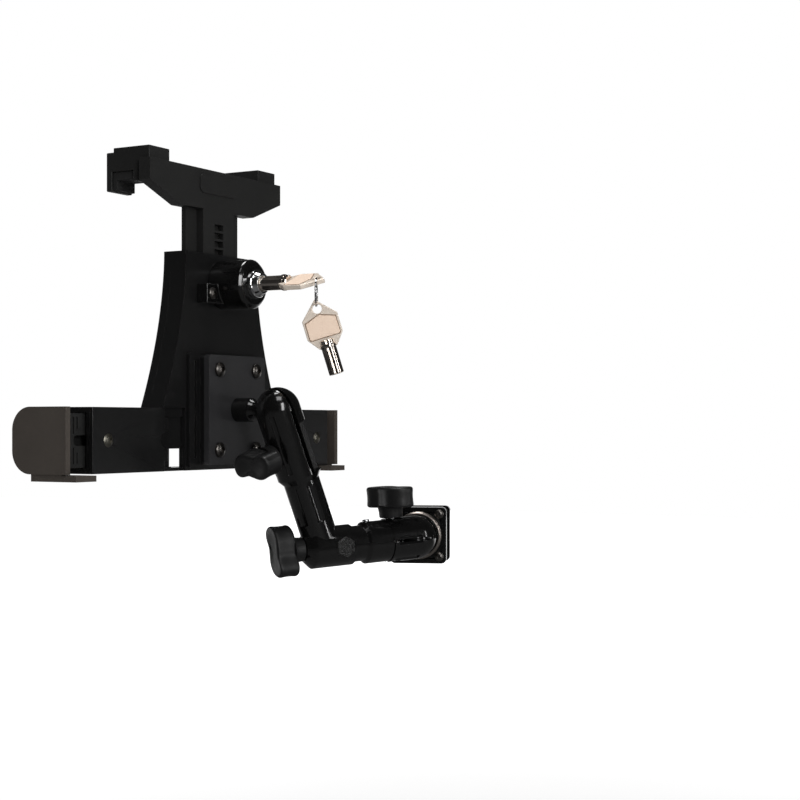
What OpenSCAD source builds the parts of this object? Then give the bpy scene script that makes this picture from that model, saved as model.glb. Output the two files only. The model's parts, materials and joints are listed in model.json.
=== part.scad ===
// Locking tablet holder on a jointed arm that clamps to a headrest post.
// The origin is on the axis of the post at half the height of the clamp, with +Z up the post.

/* [Tablet space] */
// Width between the two side hooks as they are set
tablet_w = 211; // [180:1:240]
// How far the left side hook stands from the centre of the ball mount
left_reach = 112; // [98:1:122]
// Height from the ledge pads to the pads of the top hooks
tablet_h = 124; // [112:1:130]
// Depth between the back pads and the lips of the hooks
tablet_depth = 9.5; // [7:0.5:12]
// Thickness of the rubber pads behind the tablet
pad_t = 1; // [0.6:0.1:2]
// Height of the tablet's lower edge below the centre of the ball mount
ledge_drop = 18; // [14:0.5:22]

/* [Holder body] */
// Sideways offset of the holder from the centre of the ball mount
holder_shift = -1.5; // [-4:0.5:4]
// Height of the spine's top edge above the centre of the ball mount
spine_top = 74.5; // [70:0.5:80]
// Half width of the spine at its top edge
spine_half = 28.5; // [26:0.5:34]
// Half width of the spine where it flows into the crossbar
flare_half = 46; // [40:0.5:52]
// Wall of the spine cover behind the sliding bracket
cover_wall = 1.7; // [1.2:0.1:2.5]
// Thickness of the tray that closes the spine on the tablet's side
tray_t = 4.2; // [3.4:0.1:6]
// Gap between the crossbar's end and the nearer side hook, as the hooks are set
hook_gap = 5.5; // [3:0.5:12]
// Height of the crossbar
bar_h = 29.2; // [27:0.2:32]
// Height of the crossbar's top edge above the centre of the ball mount
bar_top = 0.7; // [0:0.1:3]
// Thickness of the cover plates on the crossbar's back
bar_cover_t = 1.5; // [1:0.1:2]
// Wall of the crossbar round the sliders
bar_wall = 2; // [1.6:0.1:2.6]
// Half width of the apron that carries the adapter block
apron_half = 29.5; // [28:0.5:33]
// Width of the see-through slots beside the apron
window_w = 8.5; // [5:0.5:9]
// Height of the see-through slots beside the apron
window_h = 8.7; // [5:0.1:10]

/* [Ball mount plate] */
// Width of the adapter plate
plate_w = 46; // [42:1:52]
// Height of the adapter plate
plate_h = 52; // [48:1:58]
// Thickness of the adapter plate
plate_t = 3; // [2:0.5:4]
// Thickness of the block between the plate and the spine
block_t = 5; // [4:0.5:8]
// Thickness of the block's base flange
flange_t = 2; // [1.5:0.1:2.5]
// Width of the block's base flange
flange_w = 60; // [56:1:61]
// Sideways spacing of the four plate screws
hole_dx = 30; // [24:1:34]
// Upright spacing of the four plate screws
hole_dz = 38; // [32:1:42]
// Diameter of the plate screws
plate_screw_d = 4; // [3:0.5:5]
// Diameter of the plate screws' round heads
plate_head_d = 7; // [6:0.5:8]

/* [Sliding bracket] */
// Half width of the bracket's head
head_half = 53; // [50:1:58]
// Height of the head's ends
head_end_h = 10; // [8:0.5:12]
// Thickness of the bracket
bracket_t = 6.5; // [6:0.1:8]
// Width of the bracket's stem
stem_w = 25; // [22:0.5:28]
// Width of the thin flange on the stem's front
stem_flange_w = 42; // [38:0.5:44]
// Thickness of the stem's thin flange
stem_flange_t = 2.5; // [2:0.1:3]
// Length of the stem below the head's lower edge
stem_len = 74; // [70:1:76]
// Spacing of the lock slots up the stem
slot_pitch = 4; // [3.6:0.1:5]
// Width of the lock slots
slot_w = 7; // [6.5:0.1:9]
// Height of the lock slots
slot_h = 2.9; // [2.7:0.1:3.2]
// Depth of the lock slots
slot_depth = 3; // [2.5:0.1:3.5]
// Width of the top hooks
top_hook_w = 15; // [12:0.5:18]
// Distance of the top hooks from the ends of the head
top_hook_inset = 2; // [1:0.5:6]
// How far the top hooks stand above the pads under them
top_cap_h = 15; // [13:0.5:18]

/* [Side hooks] */
// Height of the side hooks
side_h = 29; // [27:0.5:30]
// Thickness of the side hooks' walls
side_wall = 3; // [2.5:0.1:4]
// How far the side hooks reach back behind the crossbar's back
side_back = 1; // [0:0.5:3]
// Corner radius of the side hooks
side_round = 10; // [6:0.5:12]
// How far the lips stand in front of the tablet
lip_w = 8; // [6:0.5:11]
// Thickness of the hook lips
lip_t = 3; // [2.4:0.1:4]
// Thickness of the rubber pads on the lips
lip_pad_t = 2.5; // [1.5:0.1:3]
// Length of the ledges under the tablet
ledge_w = 12; // [9:0.5:14]
// Spacing of the grip ribs on the sliders
rib_pitch = 2.3; // [1.8:0.1:3]
// Length of the raised grip on the sliders
grip_len = 13; // [11:0.5:15]
// Diameter of the thumb notch in the grip
notch_d = 11.6; // [9:0.2:13]
// Length of slider that stays in the crossbar when a side hook is fully out
slide_hold = 25; // [22:1:30]
// Distance of the slider bolts from the crossbar's ends
bolt_in = 10.5; // [8:0.5:12]
// Diameter of the slider bolts
bolt_d = 4; // [3:0.5:5]

/* [Lock] */
// Height of the lock above the centre of the ball mount
lock_z = 60; // [56:0.5:62]
// Diameter of the lock barrel
lock_d = 23.5; // [20:0.5:26]
// Length of the lock barrel
lock_len = 19; // [17:0.5:22]
// Diameter of the turning plug
plug_d = 13.5; // [12:0.5:15]
// How far the plug stands out of the barrel
plug_out = 5; // [4:0.5:7]
// Travel of the pawl between open and locked
pawl_travel = 3; // [2.5:0.1:3]
// Diameter of the tubular keys
key_tube_d = 7.4; // [6.6:0.1:8]
// Width of the key bows
key_bow_w = 17; // [15:0.5:20]
// Thickness of the key bows
key_bow_t = 2.2; // [1.8:0.1:2.6]
// Angle of the inserted key's bow from level
key_angle = 24; // [18:1:26]
// Diameter of the key ring across the middle of its wire
ring_d = 13; // [12.5:0.5:14]
// Thickness of the key ring's wire
ring_wire = 1.2; // [1:0.1:1.3]

/* [Arm] */
// Diameter of the two balls
ball_d = 17; // [15:0.5:18]
// Diameter of the necks behind the balls
neck_d = 8; // [7:0.5:9]
// Distance from the holder's ball to the adapter plate
stud_len = 23.3; // [20:0.1:28]
// Outer diameter of the ball sockets
socket_d = 21.5; // [20.5:0.5:24]
// Diameter of the upper arm's shaft
shaft_d = 17.5; // [16:0.5:19]
// Length of the upper arm from the elbow's axis to its ball
upper_len = 70.4; // [66:0.1:90]
// Angle between the upper arm and the forearm's axis
upper_lean = 73.2; // [66:0.1:90]
// Turn of the elbow from upright
elbow_turn = -1.3; // [-5:0.1:5]
// Turn of the upper socket's split about the shaft
jaw_turn = 15; // [0:1:20]
// Distance of the upper knob's bolt from its ball
upper_bolt_back = 19.5; // [16:0.5:22]
// Length of the upper socket below its ball
upper_jaw_len = 33; // [28:0.5:36]
// Length of the forearm from its ball to the elbow
fore_len = 50.3; // [48:0.1:70]
// Direction of the forearm seen from above
fore_az = 148; // [130:1:160]
// Drop of the forearm below level
fore_drop = 3.5; // [0:0.5:8]
// Distance of the lower knob's bolt from its ball
fore_bolt_back = 12.5; // [12.5:0.1:13]
// Length of the lower socket past its ball
fore_jaw_len = 16.5; // [16.5:0.1:18]
// Diameter of the elbow barrel
elbow_d = 19.8; // [19:0.1:22]
// Length of the elbow barrel on the forearm's side
elbow_in = 13.8; // [12.5:0.1:15]
// Length of the elbow barrel on the knob's side
elbow_out = 7; // [6.5:0.1:12]
// Gap between the two halves of a socket
jaw_gap = 1.6; // [1:0.1:2.4]

/* [Wing knobs] */
// Span of the wings
knob_span = 26; // [22:0.5:30]
// Thickness of the winged head
knob_head_t = 10; // [8:0.5:12]
// Diameter of the hub under the head
knob_hub_d = 13; // [11:0.5:15]
// Length of the hub under the head
knob_hub_t = 5; // [4:0.5:8]
// Diameter of the knob bolts
knob_bolt_d = 4; // [3.5:0.1:4.5]

/* [Post clamp] */
// Diameter of the headrest post that the clamp fits
post_d = 12; // [10:0.5:13]
// Width and height of the clamp plates
clamp_w = 28.5; // [27:0.5:34]
// Thickness of the clamp plates
clamp_plate_t = 3; // [2.5:0.5:4]
// Rubber left behind the groove of each liner
liner_floor = 1; // [0.8:0.1:2]
// Gap between the two liners
liner_gap = 2; // [1:0.5:4]
// Spacing of the four clamp screws
clamp_screw_gap = 21.5; // [21:0.5:25]
// Diameter of the clamp screws
clamp_screw_d = 3; // [2.5:0.5:3]
// Diameter of the round base on the front plate
base_d = 24; // [22:0.5:28]
// Thickness of the round base
base_t = 3; // [2.5:0.5:4]
// Distance from the front plate to the clamp's ball
ball_out = 15; // [14.5:0.5:18]
// Direction that the clamp's ball faces seen from above
clamp_az = 202; // [190:1:210]

/* [Clearances] */
// Gap at sliding and turning parts
run_gap = 0.3; // [0.3:0.05:0.4]
// Radial gap of pins in their bores
pin_gap = 0.05; // [0.02:0.01:0.09]
// Radial gap between a ball and its socket
ball_gap = 0.3; // [0.25:0.05:0.4]

/* [Hidden] */
$fn = 64;

// Colours as the photograph shows them
black_satin = [0.10, 0.10, 0.11];
black_matte = [0.15, 0.15, 0.15];
warm_black = [0.22, 0.20, 0.19];
rubber_black = [0.07, 0.07, 0.07];
chrome_grey = [0.78, 0.78, 0.80];
nickel_warm = [0.82, 0.76, 0.70];
steel_dark = [0.28, 0.28, 0.29];

// Radii and heights that follow from the sizes above
ball_r = ball_d / 2;
neck_r = neck_d / 2;
socket_r = socket_d / 2;
shaft_r = shaft_d / 2;
elbow_r = elbow_d / 2;
post_r = post_d / 2;
bolt_r = knob_bolt_d / 2;
ring_r = ring_d / 2;
wire_r = ring_wire / 2;
tube_r = key_tube_d / 2;
small = 0.1;

// Places along the clamp's own axis, which points at the ball
liner_x0 = liner_gap / 2;
plate_x0 = post_r + liner_floor;
plate_x1 = plate_x0 + clamp_plate_t;
clamp_ball_x = plate_x1 + ball_out;

// Turning of a direction about the Y and Z axes
function about_y(v, a) = [v.x * cos(a) + v.z * sin(a), v.y, v.z * cos(a) - v.x * sin(a)];
function about_z(v, a) = [v.x * cos(a) - v.y * sin(a), v.x * sin(a) + v.y * cos(a), v.z];

// Chain of the arm from the clamp's ball to the holder's ball
clamp_ball = clamp_ball_x * [cos(clamp_az), sin(clamp_az), 0];
fore_dir = about_z(about_y([0, 0, 1], 90 + fore_drop), fore_az);
upper_in_fore = about_z(about_y([0, 0, 1], -upper_lean), elbow_turn);
upper_dir = about_z(about_y(upper_in_fore, 90 + fore_drop), fore_az);
elbow = clamp_ball + fore_len * fore_dir;
holder_ball = elbow + upper_len * upper_dir;
plate_at = holder_ball + [0, stud_len, 0];

// Depths in the holder, measured from the adapter plate's outer face toward the tablet
back_y = plate_t + block_t;
bracket_y0 = back_y + cover_wall + run_gap;
bracket_y1 = bracket_y0 + bracket_t;
tray_y0 = bracket_y1 + run_gap;
tray_y1 = tray_y0 + tray_t;
seat_y = tray_y1 + pad_t;
lip_y0 = seat_y + tablet_depth;
lip_y1 = lip_y0 + lip_pad_t;
front_y = lip_y1 + lip_t;
bar_y0 = back_y + bar_cover_t;
slide_y0 = bar_y0 + bar_wall;
slide_y1 = tray_y1 - bar_wall - small * 5;

// Heights and side places in the holder
bar_z0 = bar_top - bar_h;
slide_z0 = bar_z0 + bar_wall + small * 5;
slide_z1 = bar_top - bar_wall - small * 5;
ledge_z = -ledge_drop;
pad_top_z = ledge_z + tablet_h;
cap_z = pad_top_z + top_cap_h;
cap_under = pad_top_z + 4;
left_x = -left_reach - holder_shift;
right_x = left_x + tablet_w;
cavity_x0 = apron_half + window_w + 1.5;
bar_half = min(-left_x, right_x) - hook_gap;
bolt_x = bar_half - bolt_in;
closed_gap = 0.5;
slider_len = bar_half + closed_gap - cavity_x0 - 1;
slide_travel = slider_len - slide_hold;
web_t = 2;
slot_floor = 2;
case_screw_d = 3;
case_head_d = case_screw_d * 2;
case_bite = tray_t * 1.1;

// Sliding bracket: heights of the head and of the stem's end
head_top = cap_z - 6;
head_low = head_top - head_end_h;
gusset_z = head_low - 9;
gusset_x = stem_flange_w / 2 + 8;
stem_z0 = gusset_z - stem_len;
bracket_down = 16;
spine_curve = 1.8;
slots_below = floor((lock_z - stem_z0 - 3) / slot_pitch);
slots_above = floor((gusset_z - 8 - lock_z) / slot_pitch);

// Lock and keys
lock_y0 = back_y - lock_len;
plug_y0 = lock_y0 - plug_out;
plug_y1 = back_y - 6.5;
pawl_w = slot_w - 0.8;
pawl_h = slot_h - 0.7;
pawl_y0 = plug_y1 + run_gap;
pawl_y1 = bracket_y0 + slot_depth - run_gap - small - pawl_travel;
tube_sink = 1.5;
bow_top = 4.5;
bow_len = 23;
bow_shoulder = -4;
key_len = bow_len - bow_top + 13;
key_hole_r = 2.2;
key_hole_y = plug_y0 + tube_sink - key_len;
view_az = 29.7;
ring_side = 3.3;
ring_drop = 5.6;
spare_drop = key_hole_r - wire_r - run_gap;
spare_tilt = -16.9;

// Elbow and sockets
elbow_cone = 4;
spigot_z = fore_len - elbow_in - run_gap;
barrel_end = fore_len + elbow_out + elbow_cone;
swing_low = -25;
swing_high = 60;
tilt_low = -10;
tilt_high = 40;
mouth_r = neck_r + 0.6;
nut_af = knob_bolt_d * 1.75;
nut_t = 3;

// Frames that the pieces are drawn in
module at_clamp() {
    rotate([0, 0, clamp_az]) children();
}

module at_forearm() {
    translate(clamp_ball) rotate([0, 90 + fore_drop, fore_az]) children();
}

module at_elbow() {
    at_forearm() translate([0, 0, fore_len]) rotate([0, 0, elbow_turn]) children();
}

module at_upper() {
    at_elbow() rotate([0, -upper_lean, 0]) children();
}

module at_upper_jaws() {
    at_upper() translate([0, 0, upper_len]) rotate([0, 0, jaw_turn]) children();
}

module at_plate() {
    translate(plate_at) children();
}

module at_holder() {
    at_plate() translate([holder_shift, 0, 0]) children();
}

module at_lock() {
    at_holder() translate([0, 0, lock_z]) children();
}

module at_ring() {
    at_lock() translate([0, key_hole_y, 0]) rotate([0, 0, view_az])
        translate([-ring_side, 0, -ring_drop]) children();
}

// An outline in X and Z made solid from y0 to y1
module slab(y0, y1) {
    translate([0, y1, 0]) rotate([90, 0, 0]) linear_extrude(y1 - y0) children();
}

// An outline in Y and Z made solid from x0 to x1
module bar(x0, x1) {
    translate([x0, 0, 0]) rotate([90, 0, 90]) linear_extrude(x1 - x0) children();
}

// A cylinder along Y from y0 to y1
module pin_y(d, y0, y1) {
    translate([0, y0, 0]) rotate([-90, 0, 0]) cylinder(d = d, h = y1 - y0);
}

// A cylinder along X from x0 to x1
module pin_x(d, x0, x1) {
    translate([x0, 0, 0]) rotate([0, 90, 0]) cylinder(d = d, h = x1 - x0);
}

// A box given by its two far corners
module block(a, b) {
    translate(a) cube(b - a);
}

// A rectangle with round corners, centred
module round_rect(w, h, r) {
    square([w - 2 * r, h], center = true);
    square([w, h - 2 * r], center = true);
    for (sx = [-1, 1])
        for (sy = [-1, 1])
            translate([sx * (w / 2 - r), sy * (h / 2 - r)]) circle(r);
}

// A hexagon given across its flats
module hexagon(af) {
    circle(d = af / cos(30), $fn = 6);
}

// A button-head screw along +Y: its head is at negative Y, with a hexagonal socket
module button_screw(d, head_d, head_h, length) {
    pin_y(d, 0, length);
    difference() {
        rotate([-90, 0, 0]) translate([0, 0, -head_h]) intersection() {
            cylinder(d = head_d, h = head_h);
            translate([0, 0, head_d * 0.72]) sphere(d = head_d * 1.44);
        }
        slab(-head_h - small, -head_h * 0.4) hexagon(d * 0.62);
    }
}

// The four corners of a rectangular hole pattern in X and Z
module four_corners(dx, dz) {
    for (sx = [-1, 1])
        for (sz = [-1, 1])
            translate([sx * dx / 2, 0, sz * dz / 2]) children();
}

// Clamp
module corner_posts(x0, d, length) {
    for (sy = [-1, 1])
        for (sz = [-1, 1])
            translate([0, sy * clamp_screw_gap / 2, sz * clamp_screw_gap / 2]) pin_x(d, x0, x0 + length);
}

module clamp_plate_blank() {
    bar(plate_x0, plate_x1) round_rect(clamp_w, clamp_w, 2.5);
}

module clamp_front_plate() {
    color(black_satin) at_clamp() difference() {
        clamp_plate_blank();
        corner_posts(plate_x0 - small, clamp_screw_d + 2 * pin_gap, clamp_plate_t + 2 * small);
    }
}

module clamp_rear_plate() {
    color(black_satin) at_clamp() mirror([1, 0, 0]) difference() {
        clamp_plate_blank();
        corner_posts(plate_x0 - small, clamp_screw_d + 2 * pin_gap, clamp_plate_t + 2 * small);
        bar(plate_x1 - 0.8, plate_x1 + small) round_rect(clamp_w * 0.5, clamp_w * 0.82, 2);
    }
}

module liner() {
    liner_w = clamp_screw_gap - clamp_screw_d - 2 * run_gap;
    difference() {
        bar(liner_x0, plate_x0) round_rect(liner_w, clamp_w, 1);
        translate([0, 0, -clamp_w / 2 - small]) cylinder(d = post_d, h = clamp_w + 2 * small);
    }
}

module front_liner() {
    color(rubber_black) at_clamp() liner();
}

module rear_liner() {
    color(rubber_black) at_clamp() mirror([1, 0, 0]) liner();
}

module clamp_screws() {
    color(steel_dark) at_clamp() for (sy = [-1, 1])
        for (sz = [-1, 1])
            translate([plate_x1, sy * clamp_screw_gap / 2, sz * clamp_screw_gap / 2]) rotate([0, 0, 90])
                button_screw(clamp_screw_d, clamp_screw_d * 1.5, 1.6, 2 * plate_x1 + 2.2);
}

module clamp_nuts() {
    color(steel_dark) at_clamp() for (sy = [-1, 1])
        for (sz = [-1, 1])
            translate([-plate_x1 - 2, sy * clamp_screw_gap / 2, sz * clamp_screw_gap / 2]) difference() {
                bar(0, 2) hexagon(clamp_screw_d * 1.8);
                pin_x(clamp_screw_d + 2 * pin_gap, -small, 2 + small);
            }
}

module ball_base() {
    color(black_satin) at_clamp() difference() {
        translate([plate_x1, 0, 0]) rotate([0, 90, 0]) union() {
            cylinder(d = base_d - 3, h = base_t - 0.6);
            cylinder(d = base_d - 8, h = base_t);
        }
        pin_x(neck_d + 2 * pin_gap, plate_x1 - small, plate_x1 + base_t + small);
    }
}

module base_rim() {
    color(chrome_grey) at_clamp() translate([plate_x1, 0, 0]) rotate([0, 90, 0]) difference() {
        union() {
            cylinder(d = base_d, h = base_t - 1);
            translate([0, 0, base_t - 1]) cylinder(d1 = base_d, d2 = base_d - 1.6, h = 0.8);
        }
        translate([0, 0, -small]) cylinder(d = base_d - 3 + 2 * pin_gap, h = base_t + 2 * small);
    }
}

// A ball on its neck, with the ball at the origin and the neck along +Z
module ball_and_neck(length) {
    sphere(ball_r);
    cylinder(r = neck_r, h = length);
}

module clamp_ball_stud() {
    color(black_satin) at_clamp() translate([clamp_ball_x, 0, 0]) rotate([0, -90, 0])
        ball_and_neck(ball_out - run_gap);
}

// Space that a neck sweeps: a flat sector in the local X and Y plane, as wide as the neck at its ends
module mouth(low, high) {
    reach = socket_r + 6;
    middle = (low + high) / 2;
    linear_extrude(2 * mouth_r, center = true) {
        polygon(reach * [[0, 0], [cos(low), sin(low)], [cos(middle), sin(middle)], [cos(high), sin(high)]]);
        for (a = [low, high])
            rotate(a) translate([0, -mouth_r]) square([reach, 2 * mouth_r]);
    }
}

// The neck's way in the lower socket while the forearm swings on the upright axis
module clamp_mouth() {
    stud_az = clamp_az - 180;
    translate(clamp_ball) mouth(stud_az - swing_high - 2, stud_az - swing_low + 2);
}

// The neck's way in the upper socket while the holder tilts on the sideways axis
module holder_mouth() {
    translate(holder_ball) rotate([90, 0, 90]) mouth(tilt_low - 2, tilt_high + 2);
}

// Outer form of a ball socket: the ball is at the origin and the arm runs along -Z
module socket_blank(length) {
    rotate_extrude() {
        intersection() {
            circle(socket_r);
            square(socket_r);
        }
        translate([0, -length]) square([socket_r, length]);
    }
}

// Long grooves cut round a shaft along Z
module flutes(r, z0, z1, width, count, start) {
    for (i = [0:count - 1])
        rotate([0, 0, start + i * 360 / count]) translate([r + width * 0.28, 0, z0])
            cylinder(d = width, h = z1 - z0);
}

// Half of space on the side of +X (side = 1) or -X (side = -1), past half the jaw gap
module half_space(side) {
    big = 60;
    x0 = side > 0 ? jaw_gap / 2 : -big - jaw_gap / 2;
    translate([x0, -big / 2, -big]) cube([big, big, 2 * big]);
}

module forearm_bolt_hole(extra) {
    translate([0, 0, fore_bolt_back]) pin_x(knob_bolt_d + 2 * extra, -socket_r - small, socket_r + small);
}

module forearm_socket(side, length) {
    intersection() {
        rotate([180, 0, 0]) socket_blank(length);
        half_space(side);
    }
}

module forearm_barrel() {
    collar_z1 = fore_jaw_len + 12;
    nut_z = spigot_z - 12;
    color(black_satin) difference() {
        at_forearm() difference() {
            union() {
                forearm_socket(-1, fore_jaw_len);
                translate([0, 0, fore_jaw_len]) cylinder(d = socket_d - 1, h = collar_z1 - fore_jaw_len);
                translate([0, 0, collar_z1]) cylinder(d1 = socket_d - 1, d2 = shaft_d, h = 1.5);
                translate([0, 0, collar_z1]) cylinder(r = shaft_r, h = spigot_z - collar_z1);
            }
            sphere(ball_r + ball_gap);
            forearm_bolt_hole(run_gap);
            flutes(socket_r, 1, fore_jaw_len - 2.5, 4.6, 6, 30);
            translate([0, 0, nut_z]) cylinder(d = knob_bolt_d + 2 * run_gap, h = spigot_z - nut_z + small);
            translate([0, 0, nut_z]) linear_extrude(nut_t + 2 * small) hexagon(nut_af + 2 * pin_gap);
            for (s = [-1, 1])
                rotate([0, 0, 205 + 13 * s]) translate([0, 0, collar_z1 - 3])
                    pin_x(2 + 2 * pin_gap, shaft_r - 3, socket_r);
        }
        clamp_mouth();
    }
}

module forearm_jaw() {
    color(black_satin) difference() {
        at_forearm() difference() {
            forearm_socket(1, fore_jaw_len - run_gap);
            forearm_bolt_hole(run_gap);
            flutes(socket_r, 1, fore_jaw_len - 2.5, 4.6, 6, 30);
            translate([socket_r - nut_t - 0.6, 0, fore_bolt_back]) rotate([0, 90, 0])
                linear_extrude(nut_t + 1) hexagon(nut_af + 2 * pin_gap);
        }
        translate(clamp_ball) sphere(ball_r + ball_gap);
        clamp_mouth();
    }
}

// A hexagonal nut with its bore along Z
module hex_nut() {
    difference() {
        linear_extrude(nut_t) hexagon(nut_af);
        translate([0, 0, -small]) cylinder(d = knob_bolt_d + 2 * pin_gap, h = nut_t + 2 * small);
    }
}

module forearm_nut() {
    color(chrome_grey) at_forearm() translate([socket_r - nut_t - 0.6, 0, fore_bolt_back])
        rotate([0, 90, 0]) hex_nut();
}

module forearm_screws() {
    color(chrome_grey) at_forearm() for (s = [-1, 1])
        rotate([0, 0, 205 + 13 * s]) translate([0, 0, fore_jaw_len + 9]) {
            pin_x(2, shaft_r - 2.5, socket_r - 0.4);
            pin_x(3.4, socket_r - 0.5, socket_r + 0.4);
        }
}

module elbow_nut() {
    color(chrome_grey) at_forearm() translate([0, 0, spigot_z - 12 + small]) hex_nut();
}

// Outline of the two-winged knob: its radius grows along two swept lobes
module wing_outline() {
    steps = 60;
    core = knob_hub_d / 2 - 1;
    grow = knob_span / 2 - core;
    polygon([for (i = [0:steps - 1])
        let (a = i * 360 / steps, g = pow(abs(cos(a)), 3), r = core + grow * g)
        r * [cos(a + 26 * g), sin(a + 26 * g)]]);
}

// A wing knob on +Z whose hub starts at z0
module wing_knob(z0) {
    difference() {
        translate([0, 0, z0]) {
            cylinder(d1 = knob_hub_d - 1.5, d2 = knob_hub_d, h = knob_hub_t);
            translate([0, 0, knob_hub_t]) linear_extrude(knob_head_t) wing_outline();
        }
        translate([0, 0, z0 - small]) cylinder(d = knob_bolt_d + 2 * pin_gap, h = knob_hub_t + 4 + small);
    }
}

// The bolt of a wing knob: it ends at z1 inside the knob
module knob_bolt(z0, z1) {
    translate([0, 0, z0]) cylinder(d = knob_bolt_d, h = z1 - z0);
}

knob_z0 = socket_r + run_gap;
knob_bolt_z1 = knob_z0 + knob_hub_t + 3.5;

module at_clamp_knob() {
    at_forearm() translate([0, 0, fore_bolt_back]) rotate([0, -90, 0]) rotate([0, 0, 92]) children();
}

module clamp_knob_grip() {
    color(black_matte) at_clamp_knob() wing_knob(knob_z0);
}

module clamp_knob_bolt() {
    color(chrome_grey) at_clamp_knob() knob_bolt(-socket_r + 0.3, knob_bolt_z1);
}

module upper_bolt_hole() {
    translate([0, 0, -upper_bolt_back]) pin_x(knob_bolt_d + 2 * run_gap, -socket_r - 4, socket_r + 4);
}

// The flat on the outer side of the loose jaw, where the nut sits
module jaw_flat() {
    translate([-socket_r - 4, -socket_r - 1, -upper_jaw_len - 1])
        cube([4 + 1.8, socket_d + 2, upper_jaw_len - 7]);
}

module upper_arm_shaft() {
    shaft_len = upper_len - upper_jaw_len;
    neck_taper = 3;
    color(black_satin) difference() {
        union() {
            at_elbow() {
                translate([0, 0, -elbow_in]) cylinder(r = elbow_r, h = elbow_in + elbow_out);
                translate([0, 0, elbow_out])
                    cylinder(r1 = elbow_r, r2 = knob_hub_d / 2 - 0.5, h = elbow_cone);
            }
            at_upper() difference() {
                rotate_extrude() polygon([[0, 0], [shaft_r, 0], [shaft_r, shaft_len - neck_taper],
                    [socket_r, shaft_len], [0, shaft_len]]);
                flutes(shaft_r, elbow_r + 4, shaft_len - neck_taper - 2, shaft_d / 3, 6, 30);
            }
            at_upper_jaws() intersection() {
                socket_blank(upper_jaw_len + small);
                half_space(1);
            }
        }
        at_elbow() {
            translate([0, 0, -elbow_in - small])
                cylinder(d = knob_bolt_d + 2 * run_gap, h = elbow_in + elbow_out + elbow_cone + 2 * small);
            translate([0, elbow_r - 1.2, -elbow_in + 6]) rotate([-90, 0, 0])
                linear_extrude(2) hexagon(9 + 2 * pin_gap);
        }
        translate(holder_ball) sphere(ball_r + ball_gap);
        at_upper_jaws() {
            upper_bolt_hole();
            flutes(socket_r, -upper_jaw_len + 3, -1, 3.4, 6, 30);
        }
        holder_mouth();
    }
}

module upper_arm_jaw() {
    color(black_satin) difference() {
        at_upper_jaws() difference() {
            intersection() {
                socket_blank(upper_jaw_len - run_gap);
                half_space(-1);
            }
            upper_bolt_hole();
            jaw_flat();
            rotate([0, 0, -50]) jaw_flat();
            translate([-socket_r + 1.2, 0, -upper_bolt_back]) rotate([0, 90, 0])
                linear_extrude(nut_t + 0.6) hexagon(nut_af + 2 * pin_gap);
        }
        translate(holder_ball) sphere(ball_r + ball_gap);
        holder_mouth();
    }
}

module upper_arm_nut() {
    color(chrome_grey) at_upper_jaws() translate([-socket_r + 1.2 + 0.6, 0, -upper_bolt_back])
        rotate([0, 90, 0]) hex_nut();
}

module elbow_inset() {
    color(black_matte) at_elbow() translate([0, elbow_r - 1.2, -elbow_in + 6]) rotate([-90, 0, 0])
        linear_extrude(1.3) hexagon(9);
}

module at_arm_knob() {
    at_upper_jaws() translate([0, 0, -upper_bolt_back]) rotate([0, 90, 0]) rotate([0, 0, 70]) children();
}

module arm_knob_grip() {
    color(black_matte) at_arm_knob() wing_knob(knob_z0);
}

module arm_knob_bolt() {
    color(chrome_grey) at_arm_knob() knob_bolt(-socket_r + 2, knob_bolt_z1);
}

module at_elbow_knob() {
    at_forearm() rotate([0, 0, 4]) children();
}

module elbow_knob_grip() {
    color(black_matte) at_elbow_knob() wing_knob(barrel_end + run_gap);
}

module elbow_knob_bolt() {
    color(chrome_grey) at_elbow_knob() knob_bolt(spigot_z - 12 + 2 * small, barrel_end + knob_hub_t + 3.5);
}

// Holder
module holder_ball_stud() {
    foot_d = neck_d + 3.6;
    color(black_satin) translate(holder_ball) rotate([-90, 0, 0]) {
        ball_and_neck(stud_len + plate_t - 0.5);
        translate([0, 0, socket_r + 1]) cylinder(d1 = neck_d, d2 = foot_d, h = 3);
        translate([0, 0, socket_r + 4]) cylinder(d = foot_d, h = stud_len - socket_r - 4 - run_gap);
    }
}

module adapter_plate() {
    color(black_satin) at_plate() difference() {
        slab(0, plate_t) round_rect(plate_w, plate_h, 2);
        pin_y(neck_d + 2 * pin_gap, -small, plate_t + small);
        four_corners(hole_dx, hole_dz) pin_y(plate_screw_d + 2 * pin_gap, -small, plate_t + small);
    }
}

module adapter_screws() {
    color(steel_dark) at_plate() four_corners(hole_dx, hole_dz)
        button_screw(plate_screw_d, plate_head_d, 2.5, plate_t + block_t - 1);
}

module adapter_block() {
    color(black_satin) at_plate() difference() {
        union() {
            slab(back_y - flange_t, back_y) round_rect(flange_w, plate_h + 2, 2);
            slab(plate_t, back_y) round_rect(plate_w - 2, plate_h, 2);
        }
        four_corners(hole_dx, hole_dz) pin_y(plate_screw_d + 2 * pin_gap, plate_t - small, back_y - 0.8);
        for (sx = [-1, 1])
            block([sx * (plate_w / 2 + 3) - 1, back_y - flange_t - small, -plate_h / 2 + 3],
                [sx * (plate_w / 2 + 3) + 1, back_y - flange_t + 1, plate_h / 2 - 3]);
    }
}

// Side of the spine: nearly straight at the top and flaring to the crossbar
function spine_side(z) = spine_half + (flare_half - spine_half)
    * pow((spine_top - z) / (spine_top - bar_top), spine_curve);

module spine_outline() {
    steps = 16;
    zs = [for (i = [0:steps]) bar_top + (spine_top - bar_top) * i / steps];
    polygon(concat([for (z = zs) [spine_side(z), z]],
        [for (i = [steps:-1:0]) [-spine_side(zs[i]), zs[i]]]));
}

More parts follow.
